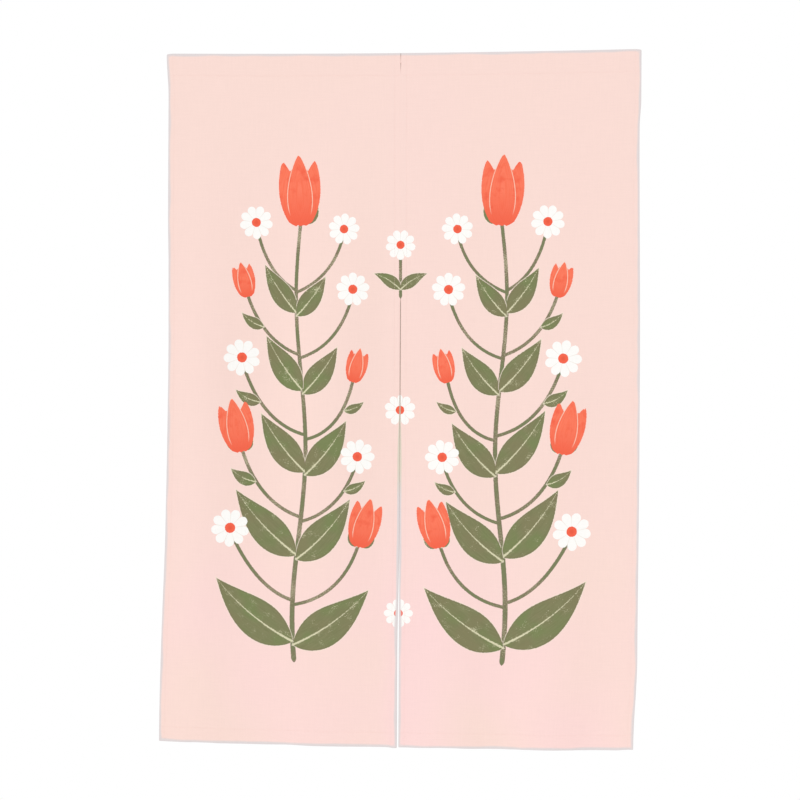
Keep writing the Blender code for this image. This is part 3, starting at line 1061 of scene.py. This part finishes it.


# Plain-woven cotton and linen. Its face is printed pale pink all over, and its pattern over that, in
# water-based inks. To the eye it is matt and even, with faint slubs along the threads, a fine check of
# threads close to, with painted shade in its hollows, a soft sheen at a grazing angle, and bare pale cloth
# at its edges, greyed by painted shade.
def printedPlainWeave(panel):
    material, tree = newFinish("printed_plain_weave_" + panel["name"])
    seed = panel["seed"]
    flat = addNode(tree, "UVMap", uv_map="flat")
    across, upward, _ = addNode(tree, "SeparateXYZ", flat, output="all")
    fromSeam = addNode(tree, "Math", across, operation="ABSOLUTE")

    # the ground is even above, and very slightly pinker in broad patches lower down and by the slit
    look = groundLook
    smooth = {"interpolation_type": "SMOOTHSTEP"}
    lower = addNode(tree, "MapRange", upward, *look["lower"], **smooth)
    drift = addNode(tree, "TexNoise", flat, look["drift"] + look["driftVaries"] * seed, 1.0)
    drift = addNode(tree, "MapRange", drift, *look["pinker"])
    bySlit = addNode(tree, "MapRange", fromSeam, *look["bySlit"][panel["name"]], **smooth)
    colour = layInks(tree, ink["ground"], [
        (addNode(tree, "Math", drift, lower, operation="MULTIPLY"), None, ink["groundPinker"]),
        (addNode(tree, "Math", bySlit, lower, operation="MULTIPLY"), None, ink["slitPinker"]),
    ])

    # the print, whose edges wander by about half a millimetre each way
    edgeWander = addNode(tree, "TexNoise", flat, *printLook["edgeGrain"])
    rough = printLook["edgeRough"]
    edgeWander = addNode(tree, "MapRange", edgeWander, 0.0, 1.0, -rough, rough, clamp=False)
    colour = layInks(tree, colour, [
        *stemInk(tree, edgeWander, "stem", flat),
        *stemInk(tree, edgeWander, "stalk", flat),
        *leafInk(tree, edgeWander, flat),
        *tulipInk(tree, edgeWander, flat),
        *daisyInk(tree, edgeWander),
    ])

    # on the back the print shows through faintly
    face = addNode(tree, "Attribute", output="Fac", attribute_name="face")
    colour = layInks(tree, ink["backCloth"], [(face, printLook["ghost"], colour)])

    # the dye stops short of the edges, over about 4 mm, and its edge wanders. The bare cloth is painted
    # greyish as shade of its edges turning away from the light, warmer and darker along the upper slit as
    # painted shade of the slit, and darkest where the panels' edges touch, a painted crevice shade.
    wander = addNode(tree, "TexNoise", flat, *look["rimWander"])
    wander = addNode(tree, "MapRange", wander, *look["rimNoise"])
    dyed = addNode(tree, "Attribute", output="Fac", attribute_name="dyed")
    dyed = addNode(tree, "Math", dyed, wander, operation="ADD")
    dyed = addNode(tree, "MapRange", dyed, *look["dyed"], **smooth)
    warmShade = addNode(tree, "MapRange", fromSeam, *look["warmShadeAcross"])
    for limit in ("warmShadeAbove", "warmShadeBelow"):
        limit = addNode(tree, "MapRange", upward, *look[limit], **smooth)
        warmShade = addNode(tree, "Math", warmShade, limit, operation="MULTIPLY")
    # the painted crevice shade, darkest at the very edge where the panels touch
    creviceShade = addNode(tree, "Attribute", output="Fac", attribute_name="creviceShade")
    colour = layInks(tree, ink["bare"], [
        (warmShade, None, ink["bareWarmShade"]),
        (dyed, None, colour),
        (creviceShade, None, ink["creviceShade"]),
    ])

    # plain weave: the sine across times the sine along rises where a thread passes over
    waves = []
    for place in (across, upward):
        wave = addNode(tree, "Math", place, math.pi / weave["thread"], operation="MULTIPLY")
        waves.append(addNode(tree, "Math", wave, operation="SINE"))
    threads = addNode(tree, "Math", *waves, operation="MULTIPLY")

    # slubs: noise drawn out along each of the two sets of threads
    slubs = []
    for stretch in ((weave["slubWidth"], weave["slubLength"], 1.0),
                    (weave["slubLength"], weave["slubWidth"], 1.0)):
        place = addNode(tree, "VectorMath", flat, stretch, operation="MULTIPLY")
        place = addNode(tree, "VectorMath", place, (seed, 2.0 * seed, 0.0), operation="ADD")
        slubs.append(addNode(tree, "TexNoise", place, 1.0, 2.0))
    slub = addNode(tree, "Math", *slubs, operation="ADD")
    # the slubs change the tone a little, and the hollows between the threads are painted a little darker, a
    # painted shade
    toneAndHollowShade = addNode(tree, "MapRange", slub, *weave["slubShade"], clamp=False)
    toneAndHollowShade = addNode(tree, "Math", threads, weave["hollowShade"], toneAndHollowShade, operation="MULTIPLY_ADD")
    colour = addNode(tree, "VectorMath", colour, toneAndHollowShade, operation="SCALE")
    height = addNode(tree, "Math", threads, weave["threadHeight"], slub, operation="MULTIPLY_ADD")
    bump = addNode(tree, "Bump", weave["relief"], weave["depth"], None, height)
    roughness = addNode(tree, "MapRange", slub, *weave["roughness"])
    feedShader(tree, {"Base Color": colour, "Normal": bump, "Roughness": roughness, **weave["shader"]})
    return material


threadLook = {
    # the darker colour is a painted shade in the grooves of the twist
    "colour": "#FDE3DC", "grooveShade": "#F2CEC5",
    "stripes": 2000.0,         # in a metre
    "grooves": (0.0, 0.35),    # how far into a stripe its groove reaches
    "fibres": (900.0, 2.0),
    "roughness": (0.55, 0.72),
    "depth": 0.00006,
    "relief": 0.4,
    "specular": 0.3,
}


# Spun polyester sewing thread, dyed to the cloth and slightly brighter than it, with its twist drawn as
# slanted stripes half a millimetre apart, painted darker in the grooves between them as shade
def spunThread(name):
    look = threadLook
    material, tree = newFinish(name)
    place = addNode(tree, "UVMap", uv_map="thread")
    around, along, _ = addNode(tree, "SeparateXYZ", place, output="all")
    twist = addNode(tree, "Math", along, look["stripes"], around, operation="MULTIPLY_ADD")
    twist = addNode(tree, "Math", twist, 0.5, operation="PINGPONG")
    twist = addNode(tree, "MapRange", twist, *look["grooves"])
    # painted shade in the grooves of the twist
    colour = layInks(tree, linearColour(look["grooveShade"]), [(twist, None, linearColour(look["colour"]))])
    fibres = addNode(tree, "TexNoise", place, *look["fibres"])
    feedShader(tree, {
        "Base Color": colour,
        "Normal": addNode(tree, "Bump", look["relief"], look["depth"], None, twist),
        "Roughness": addNode(tree, "MapRange", fibres, None, None, *look["roughness"]),
        "Specular IOR Level": look["specular"],
    })
    return material


stitching = {
    "pitch": 0.0032,           # from one stitch to the next
    "length": 0.0026,
    "thickness": 0.00038,
    "sides": 5,
    "fromEdge": 0.002,         # how near the edges the rows end
    # rings along a stitch: share of its length, and radius and height as shares of its own radius
    "rings": ((0.0, 0.0, -0.8), (0.16, 0.8, 0.1), (0.5, 1.0, 0.45), (0.84, 0.8, 0.1), (1.0, 0.0, -0.8)),
}


# Points of a grid at any flat place, between its lines in proportion to the distances
def onGrid(grids, name, across, down):
    places = []
    for lines, values in ((grids["downLines"], down), (grids["acrossLines"], across)):
        cell = np.clip(np.searchsorted(lines, values) - 1, 0, len(lines) - 2)
        places.append((cell, (values - lines[cell]) / (lines[cell + 1] - lines[cell])))
    (row, low), (column, right) = places
    low, right = low[..., None], right[..., None]
    grid = grids[name]
    upper = grid[row, column] * (1 - right) + grid[row, column + 1] * right
    lower = grid[row + 1, column] * (1 - right) + grid[row + 1, column + 1] * right
    return upper * (1 - low) + lower * low


# Short stitches as closed spindles. Rings sit along each one at five shares of its length: the
# radius is 0 at both ends, and the middle stands above the cloth while the ends sink into it.
# starts, ends and normals have one row for each stitch.
def spindles(starts, ends, normals):
    shares, radii, heights = np.array(stitching["rings"]).T
    radii, heights = [part * 0.5 * stitching["thickness"] for part in (radii, heights)]
    sides = stitching["sides"]
    angles = 2.0 * np.pi * np.arange(sides) / sides
    run = ends - starts
    length = np.linalg.norm(run, axis=1)
    beside = np.cross(run, normals)
    beside /= np.linalg.norm(beside, axis=1, keepdims=True)
    centre = starts[:, None] + run[:, None] * shares[:, None] + normals[:, None] * heights[:, None]
    ring = np.cos(angles)[:, None] * beside[:, None, None] + np.sin(angles)[:, None] * normals[:, None, None]
    rings = centre[:, 1:4, None] + ring * radii[1:4, None, None]
    points = np.concatenate([centre[:, :1], rings.reshape(len(starts), -1, 3), centre[:, 4:]], axis=1)

    # faces of one spindle: a fan at each end and two bands of quads between
    fan, bands, index, after = ringFaces(3, sides)
    last = 1 + 3 * sides
    fans = np.concatenate([fan, np.stack([np.full(sides, last), after, index], axis=1)])
    offsets = (np.arange(len(starts)) * (last + 1))[:, None, None]
    around = np.concatenate([[0.5], np.tile(np.arange(sides) / sides, 3), [0.5]])
    along = np.concatenate([[0.0], np.repeat(shares[1:4], sides), [1.0]])
    places = np.stack([np.tile(around, (len(starts), 1)), along * length[:, None]], axis=2)
    triangles, quads = (fans + offsets).reshape(-1, 3), (bands + offsets).reshape(-1, 4)
    return points.reshape(-1, 3), triangles, quads, places.reshape(-1, 2)


# All the stitches of a piece in one mesh, with a map round and along each one for its twist
def stitchMesh(name, rows):
    points, triangles, quads, places = spindles(*[np.concatenate(parts) for parts in zip(*rows)])
    mesh = newMesh(name, points, triangles, quads)
    addMap(mesh, "thread", places[np.concatenate([triangles.ravel(), quads.ravel()])])
    return mesh


# The lines that a panel is stitched along: start and end, across and down
def stitchLines():
    side, heading, bottom = stitchedAt["side"], stitchedAt["heading"], drop - stitchedAt["bottom"]
    end = stitching["fromEdge"]
    return [
        ((side, end), (side, drop - end)),
        ((panelWidth - side, end), (panelWidth - side, drop - end)),
        ((end, heading), (panelWidth - end, heading)),
        ((end, bottom), (panelWidth - end, bottom)),
    ]


# Stitches of one line on one face: their starts, ends and normals. Each middle lies at an even
# share of the line, and its ends half a stitch's length to either side.
def stitchRow(grids, faceName, outward, line):
    start, end = np.array(line[0]), np.array(line[1])
    total = np.linalg.norm(end - start)
    count = int(total / stitching["pitch"])
    middles = (np.arange(count) + 0.5) / count
    halfShare = 0.5 * stitching["length"] / total
    row = []
    for name, off in ((faceName, -halfShare), (faceName, halfShare), ("normals", 0.0)):
        place = start + (end - start) * (middles + off)[:, None]
        row.append(onGrid(grids, name, place[:, 0], place[:, 1]))
    return row[0], row[1], row[2] * outward


# A piece hangs on the one body, takes the finish it is given, and may stand for nodes of the solids
def addPiece(name, mesh, material, stands=()):
    mesh.materials.append(material)
    piece = addToScene(name, mesh)
    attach(piece, bodyName)
    if stands:
        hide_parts(*stands)
    return piece


# What joins the two panels, as rows of stitches across the seam: the headings' small tack on the
# front, a zigzag seam behind, from the top edge down to the slit, and a close bar tack where the
# slit starts. All of it is in metres.
joinRows = [
    # first one down, pitch, how many, half length, slant, face
    (0.0163, 0.00042, 4, 0.0019, 0.0, "front"),
    (0.004, 0.0030, 144, 0.0026, 0.0015, "back"),
    (0.436, 0.00042, 18, 0.0030, 0.0, "back"),
]


# Stitches at even steps down the seam. Every second one slants the other way.
def crossings(downFrom, pitch, count, half, slant, face):
    depth = -cloth["printedFace"]
    if face == "back":
        depth = cloth["layer"] - cloth["printedFace"] + cloth["turnedLayer"]
    down = downFrom + pitch * np.arange(count)
    lean = slant * np.where(np.arange(count) % 2 == 0, 1.0, -1.0)
    starts = np.stack([np.full(count, -half), np.full(count, depth), -down - lean], axis=1)
    ends = np.stack([np.full(count, half), np.full(count, depth), -down + lean], axis=1)
    return starts, ends, np.tile([0.0, np.sign(depth), 0.0], (count, 1))


def makeJoin(material):
    title = "middle_seam_stitches"
    addPiece(title, stitchMesh(title, [crossings(*row) for row in joinRows]), material)


# The floor: matt paint on a flat disc well below the hem, which thins out to nothing towards its
# rim so that no edge of it shows
studio = {
    "floorHeight": -2.0, "floorRadius": 2.35, "floorColour": "#F4F1EE",
    "floorGrid": (12, 96),    # rings and spokes
    "floorSpeckle": (60.0, 2.0), "floorRoughness": (0.75, 0.85),
    "floorFades": (2.32, 1.3, 0.0, 1.0),
    "domeLight": 0.86,        # the even light that the curtain gets from all round
    "suns": {                 # strength and direction: a soft key from the upper left, a fill behind
        "key": (0.62, (-0.75, -1.0, 0.8)),
        "back": (0.35, (0.9, 1.0, 0.7)),
    },
    "softness": 26.0,         # degrees across each of them
}


# Rings of points: the radius times the cosine and the sine of even angles
def makeFloor():
    rings, spokes = studio["floorGrid"]
    height = studio["floorHeight"]
    radii = studio["floorRadius"] * np.linspace(0.0, 1.0, rings + 1)[1:, None]
    angles = 2.0 * np.pi * np.arange(spokes) / spokes
    flat = np.full((rings, spokes), height)
    ring = np.stack([radii * np.cos(angles), radii * np.sin(angles), flat], axis=2)
    points = np.concatenate([[[0.0, 0.0, height]], ring.reshape(-1, 3)])
    mesh = newMesh("studio_floor", points, *ringFaces(rings, spokes)[:2])

    material, tree = newFinish("matt_floor_paint")
    place = addNode(tree, "TexCoord", output="Object")
    speckle = addNode(tree, "TexNoise", place, *studio["floorSpeckle"])
    level = addNode(tree, "VectorMath", place, (1.0, 1.0, 0.0), operation="MULTIPLY")
    away = addNode(tree, "VectorMath", level, operation="LENGTH")
    feedShader(tree, {
        "Base Color": linearColour(studio["floorColour"]),
        "Roughness": addNode(tree, "MapRange", speckle, None, None, *studio["floorRoughness"]),
        "Alpha": addNode(tree, "MapRange", away, *studio["floorFades"], interpolation_type="SMOOTHSTEP"),
    })
    mesh.materials.append(material)
    addToScene("studio_floor", mesh)


# Even light from a white world, which the camera sees as full white, and two soft suns
def makeLights():
    world = bpy.data.worlds.new("white_studio")
    world.use_nodes = True
    bpy.context.scene.world = world
    tree = world.node_tree
    seen = addNode(tree, "LightPath", output="Is Camera Ray")
    strength = addNode(tree, "MapRange", seen, None, None, studio["domeLight"], 1.0)
    background = tree.nodes["Background"]
    background.inputs["Color"].default_value = (1.0, 1.0, 1.0, 1.0)
    tree.links.new(strength, background.inputs["Strength"])
    for name, (power, direction) in studio["suns"].items():
        lamp = bpy.data.lights.new(name + "_light", "SUN")
        lamp.energy = power
        lamp.angle = math.radians(studio["softness"])
        light = addToScene(name + "_light", lamp)
        light.rotation_euler = Vector(direction).to_track_quat("Z", "Y").to_euler()


# The photograph's view: level with the middle of the curtain, a little to its right
view = {
    "distance": 3.0, "aside": 4.20, "tilt": 0.304, "height": -0.622, "aimAcross": 0.0019,
    "focalPixels": 1673.5, "imagePixels": 800, "sensor": 36.0,
}


def makeCamera():
    turn = math.radians(view["aside"])
    place = Vector((math.sin(turn), -math.cos(turn), 0.0)) * view["distance"]
    place.z = view["height"]
    aim = Vector((view["aimAcross"], 0.0, view["height"]))
    lens = bpy.data.cameras.new("camera")
    lens.sensor_width = view["sensor"]
    lens.lens = view["sensor"] * view["focalPixels"] / view["imagePixels"]
    camera = addToScene("camera", lens)
    looks = (aim - place).to_track_quat("-Z", "Y").to_matrix().to_4x4()
    tilt = Matrix.Rotation(math.radians(view["tilt"]), 4, "Z")
    camera.matrix_world = Matrix.Translation(place) @ looks @ tilt
    bpy.context.scene.camera = camera
    bpy.context.scene.view_settings.view_transform = "Standard"


makeCamera()
makeLights()
makeFloor()
print("stage: camera, lights and floor made")

thread = spunThread("spun_sewing_thread")
for panel in panels:
    grids = sheetGrids(panel)
    title = "panel_" + panel["name"]
    finish = printedPlainWeave(panel)
    sheet = addPiece(title + "_cloth", panelMesh(panel, grids), finish, (title,))
    rows = [stitchRow(grids, faceName, outward, line)
            for faceName, outward in (("front", 1.0), ("back", -1.0)) for line in stitchLines()]
    stitches = addPiece(title + "_stitches", stitchMesh(title + "_stitches", rows), thread)
    print("panel", panel["name"], "made,", len(sheet.data.polygons), "faces in the cloth")

makeJoin(thread)
print("seam and tacks made")
